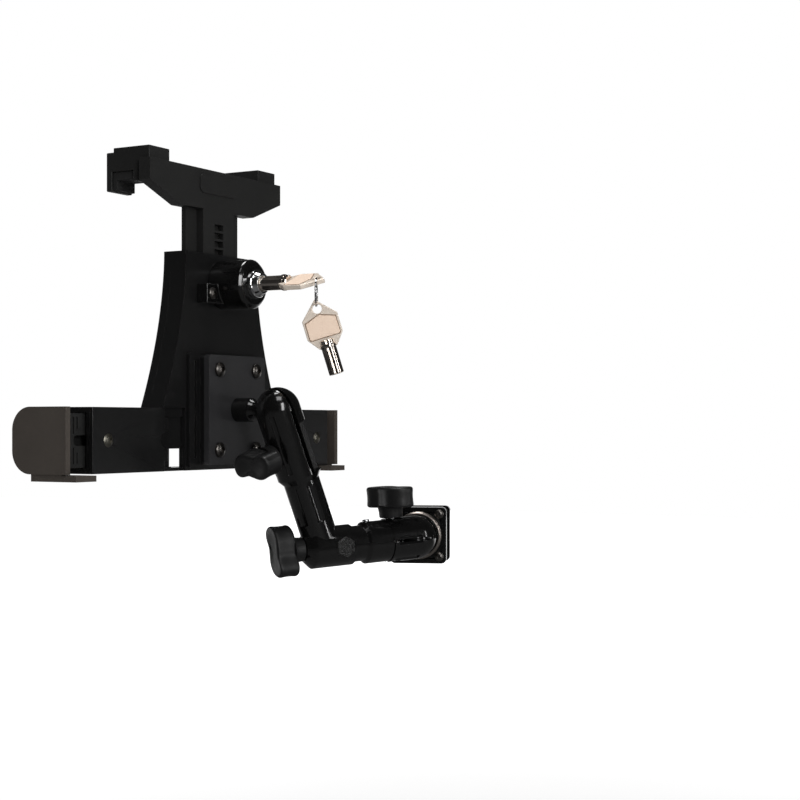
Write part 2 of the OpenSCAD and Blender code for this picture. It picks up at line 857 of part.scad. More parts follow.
// The screws that hold the cover to the tray
module case_screw_places() {
    for (sx = [-1, 1]) {
        translate([sx * (stem_flange_w / 2 + 3.6), 0, spine_top - 8]) children();
        translate([sx * (stem_flange_w / 2 + 5), 0, bar_top + 9]) children();
    }
}

module spine_cover() {
    channel_z0 = stem_z0 - bracket_down - 1;
    color(black_satin) at_holder() difference() {
        union() {
            slab(back_y, tray_y0) spine_outline();
            block([-apron_half, back_y, bar_z0], [apron_half, bar_y0, bar_top + small]);
        }
        block([-stem_w / 2 - run_gap, back_y + cover_wall, channel_z0],
            [stem_w / 2 + run_gap, tray_y0 + small, spine_top + small]);
        block([-stem_flange_w / 2 - run_gap, bracket_y1 - stem_flange_t - run_gap, channel_z0],
            [stem_flange_w / 2 + run_gap, tray_y0 + small, spine_top + small]);
        block([-pawl_w / 2 - run_gap, back_y - small, lock_z - pawl_h / 2 - run_gap],
            [pawl_w / 2 + run_gap, back_y + cover_wall + small, lock_z + pawl_h / 2 + run_gap]);
        case_screw_places() pin_y(case_screw_d + 2 * pin_gap, tray_y0 - case_bite - run_gap, tray_y0 + small);
        translate([-lock_d / 2 - 4.5, 0, lock_z - 5]) pin_y(3 + 2 * pin_gap, back_y - small, back_y + 5);
    }
}

module spine_tray() {
    color(black_satin) at_holder() difference() {
        slab(tray_y0, tray_y1) spine_outline();
        case_screw_places() {
            pin_y(case_screw_d + 2 * pin_gap, tray_y0 - small, tray_y1 + small);
            pin_y(case_head_d + run_gap, tray_y1 - tray_t / 2, tray_y1 + small);
        }
        for (k = [1:3])
            slab(tray_y1 - 1, tray_y1 + small) translate([0, bar_top + k * (spine_top - bar_top) / 5])
                round_rect(stem_w, 8, 2);
    }
}

module case_screws() {
    color(steel_dark) at_holder() case_screw_places() {
        pin_y(case_screw_d, tray_y0 - case_bite, tray_y1 - tray_t / 2);
        pin_y(case_head_d, tray_y1 - tray_t / 2, tray_y1 - run_gap);
    }
}

module crossbar_body() {
    color(black_satin) at_holder() difference() {
        block([-bar_half, bar_y0, bar_z0], [bar_half, tray_y1, bar_top]);
        for (s = [-1, 1])
            scale_x(s) {
                block([cavity_x0, slide_y0, slide_z0], [bar_half + small, slide_y1, slide_z1]);
                block([apron_half, bar_y0 - small, bar_z0 + 2],
                    [apron_half + window_w + 6, bar_y0 + 1.2, bar_top - 4]);
                block([apron_half, bar_y0 - small, bar_z0 + 1.6],
                    [apron_half + window_w, tray_y1 + small, bar_z0 + 1.6 + window_h]);
                translate([bolt_x, 0, bar_z0 + bar_h / 2])
                    pin_y(bolt_d + 2 * pin_gap, bar_y0 - small, slide_y0 + small);
                slab(tray_y1 - 1, tray_y1 + small) translate([(cavity_x0 + bar_half) / 2, bar_z0 + bar_h / 2])
                    round_rect(bar_half - cavity_x0 - 12, bar_h - 8, 2);
            }
        block([-apron_half - window_w, bar_y0 + web_t, bar_z0 + 1.6],
            [apron_half + window_w, tray_y1 + small, bar_z0 + 1.6 + window_h]);
    }
}

// Mirrors its children across the holder's middle plane when the side is -1
module scale_x(side) {
    mirror([side < 0 ? 1 : 0, 0, 0]) children();
}

// A cover plate on the crossbar's back, drawn for the +X side
module bar_cover() {
    cover_x0 = apron_half + window_w + 6.5;
    mid_z = bar_z0 + bar_h / 2;
    difference() {
        union() {
            block([cover_x0, back_y, bar_z0], [bar_half, bar_y0, bar_top]);
            block([cover_x0 - 3, bar_y0 - 1, mid_z + 4], [cover_x0, bar_y0, mid_z + 10]);
            block([cover_x0 - 3, bar_y0 - 1, mid_z - 10], [cover_x0, bar_y0, mid_z - 4]);
        }
        translate([cover_x0, 0, mid_z]) pin_y(6, back_y - small, bar_y0 + small);
        translate([bolt_x, 0, mid_z]) pin_y(bolt_d + 2 * pin_gap, back_y - small, bar_y0 + small);
    }
}

module left_bar_cover() {
    color(black_satin) at_holder() scale_x(-1) bar_cover();
}

module right_bar_cover() {
    color(black_satin) at_holder() bar_cover();
}

module slider_bolts() {
    color(chrome_grey) at_holder() for (s = [-1, 1])
        translate([s * bolt_x, back_y, bar_z0 + bar_h / 2])
            button_screw(bolt_d, bolt_d * 1.6, bolt_d * 0.3, slide_y1 - slot_floor - 2 * run_gap - back_y);
}

module back_pads() {
    color(rubber_black) at_holder() for (s = [-1, 1]) {
        slab(tray_y1, seat_y) translate([s * spine_half * 0.4, spine_top - 9]) round_rect(14, 10, 2);
        slab(tray_y1, seat_y) translate([s * (cavity_x0 - 6), bar_top - 6]) round_rect(9, 9, 2);
    }
}

// Sliding bracket
module t_bracket() {
    color(black_matte) at_holder() difference() {
        union() {
            slab(bracket_y0, bracket_y1) polygon([
                [-head_half, head_top], [-head_half, head_low], [-gusset_x, gusset_z],
                [gusset_x, gusset_z], [head_half, head_low], [head_half, head_top]]);
            block([-stem_w / 2, bracket_y0, stem_z0], [stem_w / 2, bracket_y1, gusset_z + small]);
            block([-stem_flange_w / 2, bracket_y1 - stem_flange_t, stem_z0],
                [stem_flange_w / 2, bracket_y1, gusset_z + small]);
            slab(bracket_y0 - 0.6, bracket_y0 + small)
                translate([0, head_top - 7]) round_rect(stem_w + 6, 9, 3);
        }
        for (k = [-slots_below:slots_above])
            translate([0, 0, lock_z + k * slot_pitch])
                block([-slot_w / 2, bracket_y0 - small, -slot_h / 2],
                    [slot_w / 2, bracket_y0 + slot_depth, slot_h / 2]);
        for (s = [-1, 1])
            slab(bracket_y1 - 3.5, bracket_y1 + small) scale_outline(s) polygon([
                [stem_w / 2 + 3, head_top - 2.5], [stem_w / 2 + 3, gusset_z + 3],
                [gusset_x - 1, gusset_z + 3], [head_half - top_hook_inset - top_hook_w - 3, head_low + 3],
                [head_half - top_hook_inset - top_hook_w - 3, head_top - 2.5]]);
    }
}

// Mirrors an outline across the upright axis when the side is -1
module scale_outline(side) {
    mirror([side < 0 ? 1 : 0, 0]) children();
}

// A top hook drawn for the +X side: a leg on the bracket's front, a cap and a lip
module top_hook() {
    x1 = head_half - top_hook_inset;
    groove = 2.2;
    difference() {
        bar(x1 - top_hook_w, x1) polygon([
            [bracket_y1, head_low], [bracket_y1, cap_z], [lip_y1 - 1, cap_z],
            [lip_y1 - 1, cap_z - 2], [front_y, cap_z - 2], [front_y, pad_top_z - 5],
            [lip_y1, pad_top_z - 5], [lip_y1, cap_under], [seat_y - 0.6, cap_under],
            [seat_y - 0.6, head_low]]);
        block([x1 - 3, bracket_y1 - small, head_low - small],
            [x1 + small, bracket_y1 + groove, head_top - 1]);
    }
    block([x1 - top_hook_w, bracket_y0 + 2, head_top], [x1, bracket_y1, cap_z]);
}

module left_top_hook() {
    color(black_matte) at_holder() scale_x(-1) top_hook();
}

module right_top_hook() {
    color(black_matte) at_holder() top_hook();
}

module top_hook_pads() {
    x0 = head_half - top_hook_inset - top_hook_w + 1;
    x1 = head_half - top_hook_inset - 1;
    color(rubber_black) at_holder() for (s = [-1, 1])
        scale_x(s) bar(x0, x1) polygon([
            [seat_y, cap_under], [seat_y, pad_top_z], [lip_y0, pad_top_z], [lip_y0, pad_top_z - 4.5],
            [lip_y1, pad_top_z - 4.5], [lip_y1, cap_under]]);
}

// Side hooks, drawn for the +X side with the wall's inner face at X = 0
module side_outline() {
    depth = front_y - (back_y - side_back);
    translate([back_y - side_back, bar_top - side_h]) difference() {
        square([depth, side_h]);
        for (z = [0, 1])
            translate([depth - side_round, z * side_h]) mirror([0, z]) difference() {
                translate([0, -small]) square([side_round + small, side_round + small]);
                translate([0, side_round]) circle(side_round);
            }
    }
}

module side_hook() {
    foot_z1 = bar_z0 - run_gap;
    bar(0, side_wall) side_outline();
    block([-lip_w, lip_y1, bar_z0 + side_round], [small, front_y, bar_top - side_round + 5]);
    block([-ledge_w, tray_y1 + run_gap, ledge_z - 3], [small, lip_y1 - small, ledge_z - pad_t]);
    block([-ledge_w + 1, 2, foot_z1 - 2.6], [side_wall - 0.8, seat_y + 5, foot_z1]);
    block([0, back_y + 2, foot_z1 - small], [side_wall - 0.8, seat_y + 5, bar_z0 + 1]);
}

module side_pads() {
    color(rubber_black) {
        block([-lip_w + 0.5, lip_y0, bar_z0 + side_round + 1], [0, lip_y1, bar_top - side_round + 4]);
        block([-ledge_w + 0.5, seat_y, ledge_z - pad_t], [0, lip_y0, ledge_z]);
    }
}

// A slider with a raised ribbed grip, a thumb notch and the slot that its bolt runs in
module slider_blank() {
    mid_z = bar_z0 + bar_h / 2;
    grip_y = slide_y0 + run_gap + 1;
    slot_mid = -(bolt_in + closed_gap) - slide_travel / 2;
    difference() {
        block([-slider_len, slide_y0 + run_gap, slide_z0 + run_gap],
            [0, slide_y1 - run_gap, slide_z1 - run_gap]);
        block([-slider_len - small, slide_y0, slide_z0], [-grip_len, grip_y, slide_z1]);
        translate([-grip_len, 0, mid_z]) pin_y(notch_d, slide_y0, grip_y);
        slab(slide_y0, slide_y1 - slot_floor) translate([slot_mid, mid_z])
            round_rect(slide_travel + bolt_d + 2 * run_gap, bolt_d + 2 * run_gap, bolt_d / 2);
        for (i = [0:3])
            block([-3.4 - i * rib_pitch, slide_y0, slide_z0 + 2],
                [-2.2 - i * rib_pitch, slide_y0 + run_gap + 0.6, slide_z1 - 2]);
    }
}

module left_slider() {
    color(black_matte) at_holder() translate([left_x, 0, 0]) scale_x(-1) slider_blank();
}

module left_hook() {
    color(warm_black) at_holder() translate([left_x, 0, 0]) scale_x(-1) side_hook();
}

module left_hook_pads() {
    at_holder() translate([left_x, 0, 0]) scale_x(-1) side_pads();
}

module right_slider() {
    color(black_matte) at_holder() translate([right_x, 0, 0]) slider_blank();
}

module right_hook() {
    color(warm_black) at_holder() translate([right_x, 0, 0]) side_hook();
}

module right_hook_pads() {
    at_holder() translate([right_x, 0, 0]) side_pads();
}

// Lock
module lock_housing() {
    color(black_satin) at_lock() difference() {
        union() {
            pin_y(lock_d, lock_y0 + 1.5, back_y);
            translate([0, lock_y0, 0]) rotate([-90, 0, 0]) cylinder(d1 = lock_d - 3, d2 = lock_d, h = 1.5);
            block([-lock_d / 2 - 8.5, back_y - 6, -9.5], [0, back_y, -0.5]);
        }
        pin_y(plug_d + 2 * pin_gap, lock_y0 - small, plug_y1 + small);
        block([-pawl_w / 2 - run_gap, plug_y1, -pawl_h / 2 - run_gap],
            [pawl_w / 2 + run_gap, back_y + small, pawl_h / 2 + run_gap]);
        translate([-lock_d / 2 - 4.5, 0, -5]) pin_y(3 + 2 * pin_gap, back_y - 7, back_y + small);
    }
}

module lock_screw() {
    color(steel_dark) at_lock() translate([-lock_d / 2 - 4.5, back_y - 6, -5])
        button_screw(3, 5.6, 1.8, 10);
}

module lock_plug() {
    color(chrome_grey) at_lock() difference() {
        union() {
            pin_y(plug_d, plug_y0 + 2, plug_y1);
            translate([0, plug_y0, 0]) rotate([-90, 0, 0]) cylinder(d1 = plug_d - 3, d2 = plug_d, h = 2);
        }
        pin_y(key_tube_d + 2 * pin_gap, plug_y0 - small, plug_y0 + tube_sink + small);
    }
}

// Outline of a key bow: five-sided head that narrows to the tube, with the ring hole at the origin
module bow_outline() {
    w = key_bow_w / 2;
    low = bow_top - bow_len;
    difference() {
        polygon([[0, bow_top], [w, bow_shoulder], [w, low + 5.5], [tube_r + 0.6, low],
            [-tube_r - 0.6, low], [-w, low + 5.5], [-w, bow_shoulder]]);
        circle(key_hole_r);
    }
}

// A tubular key hanging down from its ring hole at the origin
module key_blank() {
    low = bow_top - bow_len;
    translate([0, key_bow_t / 2, 0]) rotate([90, 0, 0]) linear_extrude(key_bow_t) bow_outline();
    difference() {
        translate([0, 0, -key_len]) cylinder(r = tube_r, h = key_len + low + 3);
        translate([0, 0, -key_len - small]) cylinder(r = tube_r - 1, h = 8);
    }
}

module lock_key() {
    color(nickel_warm) at_lock() translate([0, key_hole_y, 0]) rotate([0, -key_angle, 0])
        rotate([90, 0, 0]) key_blank();
}

module lock_pawl() {
    color(chrome_grey) at_lock()
        block([-pawl_w / 2, pawl_y0, -pawl_h / 2], [pawl_w / 2, pawl_y1, pawl_h / 2]);
}

module key_ring() {
    color(chrome_grey) at_ring() rotate([90, 0, 0]) rotate_extrude() translate([ring_r, 0]) circle(wire_r);
}

module spare_key() {
    color(nickel_warm) at_ring() translate([0, 0, -ring_r]) rotate([0, 0, -90]) rotate([0, spare_tilt, 0])
        translate([0, 0, -spare_drop]) key_blank();
}

clamp_front_plate();
clamp_rear_plate();
front_liner();
rear_liner();
clamp_screws();
clamp_nuts();
ball_base();
base_rim();
clamp_ball_stud();
forearm_barrel();
forearm_jaw();
forearm_nut();
forearm_screws();
elbow_nut();
clamp_knob_grip();
clamp_knob_bolt();
upper_arm_shaft();
upper_arm_jaw();
upper_arm_nut();
elbow_inset();
arm_knob_grip();
arm_knob_bolt();
elbow_knob_grip();
elbow_knob_bolt();
holder_ball_stud();
adapter_plate();
adapter_screws();
adapter_block();
spine_cover();
spine_tray();
case_screws();
crossbar_body();
left_bar_cover();
right_bar_cover();
slider_bolts();
back_pads();
lock_housing();
lock_screw();
t_bracket();
left_top_hook();
right_top_hook();
top_hook_pads();
left_slider();
left_hook();
left_hook_pads();
right_slider();
right_hook();
right_hook_pads();
lock_plug();
lock_key();
lock_pawl();
key_ring();
spare_key();
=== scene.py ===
# Looks for the locking tablet holder on its jointed headrest arm.
# Metres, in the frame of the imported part: the post's axis is +Z through the origin,
# and the holder's back looks along -Y.
import json
import math

import bmesh
import bpy
import numpy as np
from mathutils import Matrix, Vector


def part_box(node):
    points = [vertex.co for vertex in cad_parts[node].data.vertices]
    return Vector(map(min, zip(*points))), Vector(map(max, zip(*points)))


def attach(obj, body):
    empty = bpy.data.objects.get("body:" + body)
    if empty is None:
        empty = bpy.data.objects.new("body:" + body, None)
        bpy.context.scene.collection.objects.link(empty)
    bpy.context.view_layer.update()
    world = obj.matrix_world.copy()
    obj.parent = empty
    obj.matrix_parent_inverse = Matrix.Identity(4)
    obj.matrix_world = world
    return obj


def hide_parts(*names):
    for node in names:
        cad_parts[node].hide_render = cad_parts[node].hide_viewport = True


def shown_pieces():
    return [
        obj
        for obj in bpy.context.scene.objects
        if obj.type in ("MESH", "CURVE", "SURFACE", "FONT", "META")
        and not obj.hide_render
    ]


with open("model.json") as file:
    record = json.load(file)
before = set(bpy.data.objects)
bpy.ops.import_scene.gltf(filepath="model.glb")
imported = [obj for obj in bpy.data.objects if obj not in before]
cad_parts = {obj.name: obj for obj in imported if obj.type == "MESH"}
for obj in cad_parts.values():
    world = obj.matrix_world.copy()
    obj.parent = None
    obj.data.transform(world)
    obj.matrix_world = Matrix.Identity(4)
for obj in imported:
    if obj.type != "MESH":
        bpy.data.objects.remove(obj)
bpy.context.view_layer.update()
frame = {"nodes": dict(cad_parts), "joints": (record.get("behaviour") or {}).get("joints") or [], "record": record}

MM = 0.001
JOINTS = {j["name"]: j for j in frame["joints"]}
SLOTS = {s["node"]: s["material_slot"] for s in frame["record"]["subparts"]}
BODIES = {n: b for b, members in frame["record"]["behaviour"]["bodies"].items() for n in members}

# Sizes that the new pieces share with the solids, in millimetres and degrees
KNOB_SPAN, KNOB_CORE, KNOB_HUB_R, KNOB_BORE_R = 26.0, 5.5, 6.5, 2.05
KNOB_HEAD_T, KNOB_HUB_T, KNOB_SWEEP = 10.0, 5.0, 26.0
PLUG_R, PLUG_SINK = 6.75, 1.5
TUBE_R, TUBE_BORE_R = 3.5, 2.6
BOW_W, BOW_T, BOW_TOP, BOW_LEN, KEY_LEN, KEY_HOLE_R = 17.0, 2.2, 4.5, 23.0, 31.5, 2.2
BOW_SHOULDER, BOW_TAPER, FIELD_INSET = -4.0, 5.5, 1.3
KEY_TURN = 24.0
SPARE_AZIMUTH, SPARE_TILT = -60.3, -16.9
RING_R, RING_WIRE_R = 6.5, 0.6

# Detail of the new pieces that the solids leave out, in millimetres, but for the groove's width
# in radians and the ring's counts of turns and steps
KNOB_RIM_R, KNOB_WAIST, KNOB_DISH = 1.3, 0.25, 0.5
GROOVE_DEPTH, GROOVE_WIDTH, TUBE_WALL_END = 0.7, 0.16, 8.0
LINE_SIDE, LINE_TOP, LINE_BOTTOM = 0.4, 0.5, 0.4
WIRE_HALF_T, WIRE_HALF_W, RING_TURNS, RING_STEPS = 0.25, 0.36, 2.0, 240
# Doubles closer than this many metres are one point
MERGE_CAD, MERGE_NEW = 2e-6, 1e-6
# Edges sharper than this many degrees stay sharp, on the solids' copies and on new pieces
CAD_SHARP, NEW_SHARP = 32.0, 30.0

# Where the photograph was taken from: metres, and degrees to the left of +Y
CAMERA_AT = (-0.7309, -0.4048, 0.0562)
CAMERA_TURN = -60.3
AHEAD = (-math.sin(math.radians(CAMERA_TURN)), math.cos(math.radians(CAMERA_TURN)), 0.0)
LENS = 73.5
HORIZON_SHIFT = 0.03
# How much of the floor's white is its own under the part, as the camera sees it; the rest is
# lit, so that it keeps a shadow. Its colour is white to the camera and grey in reflections
SWEEP_GLOW = 0.2
SWEEP_WHITE, SWEEP_SHADE = "#f4f4f4", "#5a5a5a"
# Half the sweep's side, and the distances in metres over which it turns to its own white:
# round the origin for the camera, ahead of the camera for reflections
SWEEP_HALF = 4.0
GLOW_FROM, GLOW_TO = 0.45, 1.3
BACK_FROM, BACK_TO = 0.5, 1.6
# How far the sweep lies below the part at rest, so that no pose reaches it
FLOOR_DROP = 0.21
# World level for soft fill, and in reflections from behind the camera, where the studio is dark
FILL_LEVEL, DARK_SIDE = 0.42, 0.02
# The lamps look at the middle of the object
LAMP_AIM = (-0.08, 0.03, 0.05)
# Cosines from the camera's heading between which reflections turn from dark to white
BACKDROP_FROM, BACKDROP_TO = 0.95, 0.995

for left_over in [o for o in bpy.data.objects if o.type in ("LIGHT", "CAMERA")]:
    bpy.data.objects.remove(left_over)
for left_over in [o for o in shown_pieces() if o.name not in frame["nodes"]]:
    bpy.data.objects.remove(left_over)


# ---------------------------------------------------------------- materials

def srgb(code):
    """An sRGB hex colour as linear RGBA: c / 12.92 below the knee, else ((c + 0.055) / 1.055) to
    the power 2.4."""
    c = np.array([int(code[i:i + 2], 16) for i in (1, 3, 5)]) / 255
    linear = np.where(c <= 0.04045, c / 12.92, ((c + 0.055) / 1.055) ** 2.4)
    return (*linear.tolist(), 1.0)


def add(tree, kind, settings=(), links=()):
    """Adds a node: settings are attributes or input values, links are sockets led into inputs."""
    node = tree.nodes.new(kind)
    for key, value in dict(settings).items():
        if isinstance(key, str) and hasattr(node, key):
            setattr(node, key, value)
        else:
            node.inputs[key].default_value = value
    for key, socket in dict(links).items():
        tree.links.new(socket, node.inputs[key])
    return node


def per_metre(size_mm):
    """The noise scale that gives one cell of that size in millimetres."""
    return 1000.0 / size_mm


def finish(name, colour, colour_2, patch_mm, rough, rough_2, grain_mm, depth_mm, **constant):
    """A surface of two close colours in patches, with a grain that drives roughness and bump."""
    made = bpy.data.materials.new(name)
    made.use_nodes = True
    tree = made.node_tree
    shader = tree.nodes["Principled BSDF"]
    for key, value in constant.items():
        shader.inputs[key.replace("_", " ")].default_value = value
    place = add(tree, "ShaderNodeTexCoord").outputs["Object"]
    patches = add(tree, "ShaderNodeTexNoise", {"Scale": per_metre(patch_mm), "Detail": 4.0},
                  {"Vector": place})
    shade = add(tree, "ShaderNodeMix", {"data_type": "RGBA", 6: srgb(colour), 7: srgb(colour_2)},
                {0: patches.outputs["Fac"]})
    grain = add(tree, "ShaderNodeTexNoise",
                {"Scale": per_metre(grain_mm), "Detail": 3.0, "Roughness": 0.6}, {"Vector": place})
    gloss = add(tree, "ShaderNodeMapRange",
                {"From Min": 0.3, "From Max": 0.7, "To Min": rough, "To Max": rough_2},
                {"Value": grain.outputs["Fac"]})
    bump = add(tree, "ShaderNodeBump", {"Strength": 1.0, "Distance": depth_mm * MM},
               {"Height": grain.outputs["Fac"]})
    tree.links.new(shade.outputs[2], shader.inputs["Base Color"])
    tree.links.new(gloss.outputs[0], shader.inputs["Roughness"])
    tree.links.new(bump.outputs[0], shader.inputs["Normal"])
    return made


MATERIALS = {
    # Powder coat baked on steel plate: near black, an orange peel about 1 mm across
    "black_powder_coat": finish("black_powder_coat", "#232325", "#2a2a2b", 14, 0.34, 0.48, 0.9,
                                0.012),
    # Moulded nylon with a fine satin grain: the covers of the holder
    "satin_nylon": finish("satin_nylon", "#0c0c0d", "#131313", 18, 0.28, 0.42, 0.5, 0.008,
                          Specular_IOR_Level=0.35, Coat_Weight=0.5, Coat_Roughness=0.12),
    # Moulded nylon off a spark-eroded mould: the bracket and the sliders, quite matte
    "eroded_nylon": finish("eroded_nylon", "#161616", "#1e1e1d", 16, 0.5, 0.65, 0.35, 0.015,
                           Specular_IOR_Level=0.4),
    # The same moulded nylon on the side hooks, browner and more matte
    "hook_nylon": finish("hook_nylon", "#3a342f", "#46403a", 20, 0.6, 0.75, 0.35, 0.015,
                         Specular_IOR_Level=0.4),
    # Glass-filled nylon of the wing knobs, matte with a dry touch
    "knob_nylon": finish("knob_nylon", "#0f0f10", "#171717", 9, 0.36, 0.52, 0.3, 0.012,
                         Specular_IOR_Level=0.4),
    # Wet-painted die-cast aluminium of the arm: deep black under a clear gloss
    "gloss_black_aluminium": finish("gloss_black_aluminium", "#070707", "#0c0c0c", 10, 0.13, 0.2,
                                    1.2, 0.004, Specular_IOR_Level=0.5, Coat_Weight=0.5,
                                    Coat_Roughness=0.05),
    # Soft rubber, dull, with a light bloom
    "black_rubber": finish("black_rubber", "#131313", "#1c1c1c", 6, 0.8, 0.92, 0.4, 0.02),
    # Black oxide on screw steel: dark metal with a soft shine
    "black_oxide_steel": finish("black_oxide_steel", "#565452", "#716d69", 3, 0.26, 0.38, 0.4,
                                0.006, Metallic=1.0),
    # Bright zinc plate on screws, nuts and the knobs' bolts
    "zinc_plate": finish("zinc_plate", "#a9abad", "#c6c7c8", 3, 0.22, 0.36, 0.5, 0.005,
                         Metallic=1.0),
    # Old zinc plate of the bolts in the crossbar, dull and a little yellow
    "dull_zinc": finish("dull_zinc", "#5f5d55", "#8b887e", 1.5, 0.28, 0.45, 0.5, 0.01,
                        Metallic=1.0),
    # Turned stainless steel: satin, from the lathe tool's fine feed
    "turned_steel": finish("turned_steel", "#8f8781", "#a69e98", 5, 0.24, 0.38, 0.6, 0.004,
                           Metallic=1.0),
    # Polished chrome of the lock's face and the split ring
    "polished_chrome": finish("polished_chrome", "#d6d6d7", "#e4e4e4", 8, 0.06, 0.12, 0.8, 0.002,
                              Metallic=1.0),
    # Bright nickel plate on brass keys, slightly warm
    "nickel_plate": finish("nickel_plate", "#e2d8cd", "#efe7de", 5, 0.1, 0.2, 0.7, 0.003,
                           Metallic=1.0),
    # Stamped bow of the keys: tumbled nickel plate, satin with a rosy cast
    "stamped_nickel": finish("stamped_nickel", "#eadccd", "#f3e6d8", 4, 0.3, 0.44, 0.25, 0.01,
                             Metallic=0.4),
    # Painted shade in the struck line round the field of the key bows: a darker plate stands in for the shadow in
    # its groove
    "painted_shade_line": finish("painted_shade_line", "#8c7562", "#a58d79", 2, 0.5, 0.65, 0.3, 0.01,
                          Metallic=0.4),
    # The coined field of the key bows: the same plate, struck duller; its pinkish tone is partly the plate's own
    # and partly a painted reflection
    "coined_nickel_painted_reflection": finish("coined_nickel_painted_reflection", "#f0d6c0", "#f6dfcb", 3, 0.45, 0.6, 0.2, 0.02,
                            Metallic=0.25),
    # Cast diamond texture of the elbow's badge field, left bare
    "cast_texture": finish("cast_texture", "#090909", "#121211", 2, 0.18, 0.4, 0.8, 0.5),
}

SLOT_FINISH = {
    "black_coated_steel": "black_powder_coat", "rubber": "black_rubber",
    "black_screws": "black_oxide_steel", "black_satin": "satin_nylon",
    "satin_steel": "turned_steel", "zinc_steel": "zinc_plate", "black_matte": "eroded_nylon",
    "hook_black": "hook_nylon", "chrome": "polished_chrome", "nickel": "nickel_plate",
}
OWN_FINISH = dict.fromkeys(
    ("ball_base", "clamp_ball_stud", "forearm_barrel", "forearm_jaw", "upper_arm_shaft",
     "upper_arm_jaw", "holder_ball_stud", "lock_housing"), "gloss_black_aluminium")
OWN_FINISH |= {"elbow_inset": "cast_texture", "slider_bolts": "dull_zinc",
               "clamp_front_plate": "gloss_black_aluminium",
               "clamp_rear_plate": "gloss_black_aluminium"}


# ---------------------------------------------------------------- pieces

def linked(name, data):
    """A new object of a mesh, lamp or camera, in the scene's collection."""
    piece = bpy.data.objects.new(name, data)
    bpy.context.scene.collection.objects.link(piece)
    return piece


def shade(mesh, sharpest):
    """Smooth shading with sharp edges from an angle in degrees."""
    mesh.shade_smooth()
    mesh.set_sharp_from_angle(angle=math.radians(sharpest))


def round_edges(piece, edge_mm, sharpest):
    """A bevel of edge_mm on edges sharper than an angle in degrees, with even shading."""
    bevel = piece.modifiers.new("rounded_edges", "BEVEL")
    bevel.width = edge_mm * MM
    bevel.segments = 2
    bevel.limit_method = "ANGLE"
    bevel.angle_limit = math.radians(sharpest)
    piece.modifiers.new("even_shading", "WEIGHTED_NORMAL").keep_sharp = True


def dress(piece, body, material, replaced=()):
    """Gives a piece its finish, the body it rides on and the nodes it stands for."""
    piece.data.materials.clear()
    piece.data.materials.append(MATERIALS[material])
    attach(piece, body)
    if replaced:
        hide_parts(*replaced)
    return piece


def rounded(node, edge_mm, material=None):
    """A merged copy of a CAD node whose edges are rounded by edge_mm, in place of the node."""
    source = frame["nodes"][node]
    mesh = source.data.copy()
    mesh.name = node + "_rounded"
    shape = bmesh.new()
    shape.from_mesh(mesh)
    bmesh.ops.remove_doubles(shape, verts=shape.verts, dist=MERGE_CAD)
    bmesh.ops.dissolve_limit(shape, angle_limit=math.radians(0.3), verts=shape.verts,
                             edges=shape.edges)
    # Faces of many corners shade badly after a bevel
    bmesh.ops.triangulate(shape, faces=[f for f in shape.faces if len(f.verts) > 8])
    shape.to_mesh(mesh)
    shape.free()
    piece = linked(node + "_rounded", mesh)
    for normal_data in ("custom_normal", "sharp_face"):
        if normal_data in mesh.attributes:
            mesh.attributes.remove(mesh.attributes[normal_data])
    shade(mesh, CAD_SHARP)
    round_edges(piece, edge_mm, CAD_SHARP)
    return dress(piece, BODIES[node], material or SLOT_FINISH[SLOTS[node]], (node,))


def grid_piece(name, grids, sharpest=NEW_SHARP):
    """One mesh of several grids of points (m, n, 3), each closed round its second parameter.
    Rows that shrink to a point close the ends, doubles are merged and faces point outward."""
    points, faces, start = [], [], 0
    for grid in grids:
        m, n = grid.shape[:2]
        i, j = np.meshgrid(np.arange(m - 1), np.arange(n), indexing="ij")
        k = (j + 1) % n
        quads = np.stack([i * n + j, i * n + k, (i + 1) * n + k, (i + 1) * n + j], -1)
        faces.append(quads.reshape(-1, 4) + start)
        points.append(grid.reshape(-1, 3))
        start += m * n
    mesh = bpy.data.meshes.new(name)
    mesh.from_pydata(np.concatenate(points).tolist(), [], np.concatenate(faces).tolist())
    shape = bmesh.new()
    shape.from_mesh(mesh)
    bmesh.ops.remove_doubles(shape, verts=shape.verts, dist=MERGE_NEW)
    bmesh.ops.recalc_face_normals(shape, faces=shape.faces)
    shape.to_mesh(mesh)
    shape.free()
    shade(mesh, sharpest)
    return linked(name, mesh)


def axes_along(axis, across=None):
    """Three unit vectors: two across the axis, the first towards across, and the axis."""
    w = np.asarray(axis, float) / np.linalg.norm(axis)
    seed = np.eye(3)[np.argmin(np.abs(w))] if across is None else np.asarray(across, float)
    u = seed - w * (seed @ w)
    u /= np.linalg.norm(u)
    return u, np.cross(w, u), w


def turned(profile, origin, axes, count=96):
    """A profile of (radius, height) rows in millimetres turned round the third axis: the point at
    angle a is the origin plus radius times (cos a along u plus sin a along v) plus height along w."""
    u, v, w = axes
    angle = np.arange(count) * 2 * np.pi / count
    ring = np.cos(angle)[:, None] * u + np.sin(angle)[:, None] * v
    profile = np.asarray(profile, float) * MM
    return origin + profile[:, None, :1] * ring[None] + profile[:, None, 1:] * w


def arc(cx, cy, r, start, end, count=7):
    """Points of an arc in a profile, angles in degrees from the radius axis."""
    a = np.radians(np.linspace(start, end, count))
    return np.stack([cx + r * np.cos(a), cy + r * np.sin(a)], -1)


def node_points(node):
    """All vertices of a CAD node as an array in metres."""
    mesh = frame["nodes"][node].data
    flat = np.empty(len(mesh.vertices) * 3, np.float32)
    mesh.vertices.foreach_get("co", flat)
    return flat.reshape(-1, 3).astype(float)


